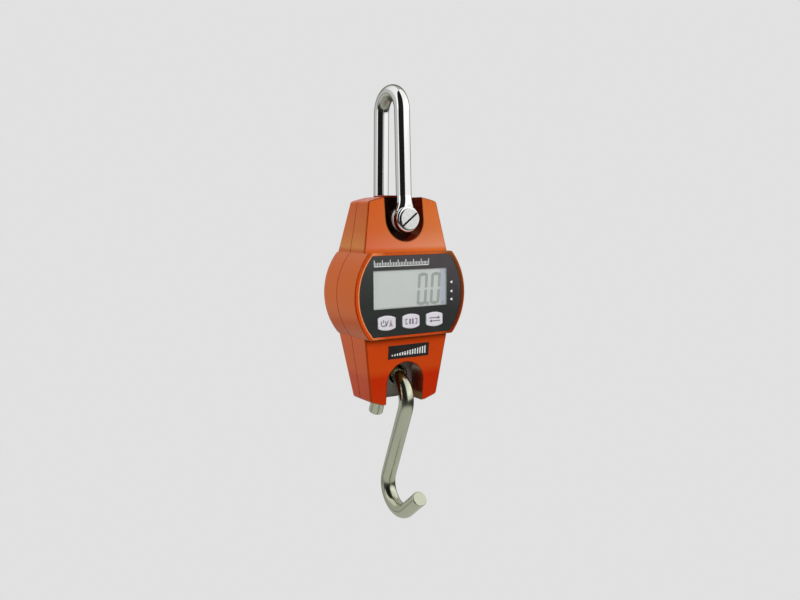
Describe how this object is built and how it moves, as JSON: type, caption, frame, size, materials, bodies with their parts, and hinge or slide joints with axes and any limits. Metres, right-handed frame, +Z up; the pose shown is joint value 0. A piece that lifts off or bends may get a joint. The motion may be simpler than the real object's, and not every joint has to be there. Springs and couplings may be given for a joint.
{
  "type": "hanging scale",
  "caption": "Hand-sized electronic hanging scale: round-bar shackle on a slotted pin, orange two-shell housing with a round display face and keys, S-shaped load hook.",
  "frame": {"origin": "inside top of the shackle's round end, where the scale is hung up", "axes": "+Z up along the line of pull, the display faces -Y, +X to the right seen from the front"},
  "size_m": [0.07, 0.0532, 0.2411],
  "materials": {
    "chromed_bar": "mirror polished",
    "zinc_steel": "zinc plated",
    "hook_steel": "polished stainless",
    "orange_shell": "gloss, orange",
    "black_panel": "satin, charcoal",
    "clear_window": "clear",
    "display_glass": "grey-green, reflective display",
    "white_plastic": "satin, white",
    "white_key": "satin, off-white",
    "grey_rubber": "matte",
    "green_board": "solder mask",
    "black_plastic": "moulded",
    "cell_metal": "machined",
    "gauge_film": "film",
    "nickel_plate": "nickel plated",
    "cell_jacket": "plain jacket"
  },
  "bodies": {
    "shackle": {"shackle": "chromed_bar", "shackle_pin": "chromed_bar", "pin_nut": "zinc_steel", "pin_spacer_front": "zinc_steel", "pin_spacer_rear": "zinc_steel"},
    "scale_body": {"front_housing": "orange_shell", "rear_housing": "orange_shell", "front_panel": "black_panel", "display_window": "clear_window", "load_cell": "cell_metal", "lcd_glass": "display_glass", "lcd_reflector": "white_plastic", "lcd_connector_upper": "grey_rubber", "lcd_connector_lower": "grey_rubber", "main_board": "green_board", "controller_chip": "black_plastic", "cell_plug": "white_plastic", "power_switch": "black_plastic", "hold_switch": "black_plastic", "unit_switch": "black_plastic", "strain_gauge_left": "gauge_film", "strain_gauge_right": "gauge_film", "cell_screw_1": "zinc_steel", "cell_screw_2": "zinc_steel", "board_screw_1": "zinc_steel", "board_screw_2": "zinc_steel", "board_screw_3": "zinc_steel", "board_screw_4": "zinc_steel", "housing_screw_1": "zinc_steel", "housing_screw_2": "zinc_steel", "housing_screw_3": "zinc_steel", "housing_screw_4": "zinc_steel", "battery_tray": "black_plastic", "battery_contact_left": "nickel_plate", "battery_contact_right": "nickel_plate", "battery_cell_1": "cell_jacket", "battery_cell_2": "cell_jacket", "battery_cell_3": "cell_jacket", "battery_spring_1": "nickel_plate", "battery_spring_2": "nickel_plate", "battery_spring_3": "nickel_plate"},
    "battery_cover": {"battery_cover": "orange_shell"},
    "power_key": {"power_key": "white_key"},
    "hold_key": {"hold_key": "white_key"},
    "unit_key": {"unit_key": "white_key"},
    "hook_bush": {"hook_bush": "hook_steel"},
    "load_hook": {"load_hook": "hook_steel"}
  },
  "joints": [
    {"name": "scale_swing", "type": "hinge", "parent": "shackle", "child": "scale_body", "pos_m": [0, 0, -0.0643], "axis": [0, 1, 0], "range_deg": [-25, 25]},
    {"name": "hook_swing", "type": "hinge", "parent": "scale_body", "child": "hook_bush", "pos_m": [0, 0, -0.1507], "axis": [0, 1, 0], "range_deg": [-22, 22]},
    {"name": "hook_rock", "type": "hinge", "parent": "hook_bush", "child": "load_hook", "pos_m": [0, 0, -0.1642], "axis": [1, 0, 0], "range_deg": [-15, 15]},
    {"name": "power_key_press", "type": "slide", "parent": "scale_body", "child": "power_key", "axis": [0, 1, 0], "range_m": [0, 0.0005], "stiffness_N_per_m": 1500},
    {"name": "hold_key_press", "type": "slide", "parent": "scale_body", "child": "hold_key", "axis": [0, 1, 0], "range_m": [0, 0.0005], "stiffness_N_per_m": 1500},
    {"name": "unit_key_press", "type": "slide", "parent": "scale_body", "child": "unit_key", "axis": [0, 1, 0], "range_m": [0, 0.0005], "stiffness_N_per_m": 1500},
    {"name": "cover_slide", "type": "slide", "parent": "scale_body", "child": "battery_cover", "axis": [0, 1, 0], "range_m": [0, 0.012]}
  ]
}
